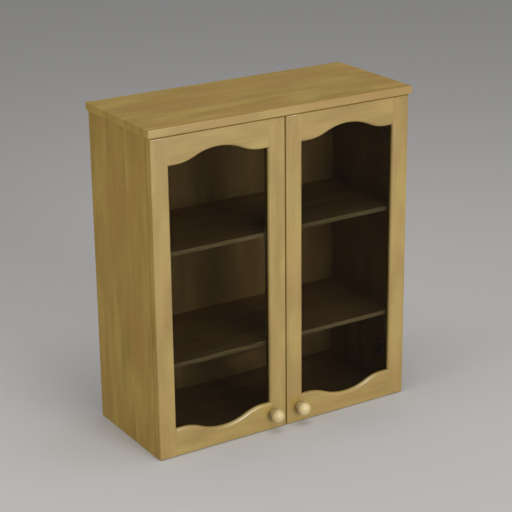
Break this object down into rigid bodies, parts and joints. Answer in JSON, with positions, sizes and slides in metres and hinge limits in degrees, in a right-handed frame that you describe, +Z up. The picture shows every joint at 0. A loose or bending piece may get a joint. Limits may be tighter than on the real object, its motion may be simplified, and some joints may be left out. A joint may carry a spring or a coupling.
{
  "type": "kitchen wall cabinet",
  "caption": "Wall-hung kitchen cabinet in pale wood: glazed double doors with curved rails, turned knobs, a projecting cap and loose shelves inside.",
  "frame": {"origin": "middle of the line between the two wall fixing holes, in the plane of the wall", "axes": "+X to the viewer's right seen from the front, +Y into the wall along the fixing holes, +Z up"},
  "size_m": [0.662, 0.307, 0.741],
  "materials": {
    "wood": "satin lacquered pale oak",
    "knob_wood": "satin lacquered turned wood",
    "dowel_wood": "bare fluted beech",
    "glass": "clear, lightly toned",
    "hinge_steel": "dull nickel plated",
    "screw_steel": "zinc plated",
    "magnet": "dull grey",
    "plastic": "moulded off-white",
    "bumper_rubber": "soft translucent grey"
  },
  "bodies": {
    "case": {"side_left": "wood", "side_right": "wood", "bottom_panel": "wood", "top_panel": "wood", "cap": "wood", "back_panel": "wood", "hanging_rail": "wood", "shelf_lower": "wood", "shelf_upper": "wood", "shelf_pins": "hinge_steel", "case_dowels": "dowel_wood", "rail_dowels": "dowel_wood", "cap_screws": "screw_steel", "back_screws": "screw_steel", "hinge_plates": "hinge_steel", "plate_screws": "screw_steel", "hinge_arms": "hinge_steel", "arm_screws": "screw_steel", "catch_body": "plastic", "catch_magnets": "magnet", "catch_screws": "screw_steel"},
    "door_left": {"hinge_stile_left": "wood", "meeting_stile_left": "wood", "top_rail_left": "wood", "bottom_rail_left": "wood", "glass_left": "glass", "side_beads_left": "wood", "end_beads_left": "wood", "hinge_cups_left": "hinge_steel", "cup_screws_left": "screw_steel", "hinge_pins_left": "screw_steel", "knob_left": "knob_wood", "knob_screw_left": "screw_steel", "bumpers_left": "bumper_rubber", "strike_left": "hinge_steel", "strike_screw_left": "screw_steel"},
    "door_right": {"hinge_stile_right": "wood", "meeting_stile_right": "wood", "top_rail_right": "wood", "bottom_rail_right": "wood", "glass_right": "glass", "side_beads_right": "wood", "end_beads_right": "wood", "hinge_cups_right": "hinge_steel", "cup_screws_right": "screw_steel", "hinge_pins_right": "screw_steel", "knob_right": "knob_wood", "knob_screw_right": "screw_steel", "bumpers_right": "bumper_rubber", "strike_right": "hinge_steel", "strike_screw_right": "screw_steel"}
  },
  "joints": [
    {"name": "door_left_hinge", "type": "hinge", "parent": "case", "child": "door_left", "pos_m": [-0.316, -0.266, -0.304], "axis": [0, 0, -1], "range_deg": [0, 100]},
    {"name": "door_right_hinge", "type": "hinge", "parent": "case", "child": "door_right", "pos_m": [0.316, -0.266, -0.304], "axis": [0, 0, 1], "range_deg": [0, 100]}
  ]
}
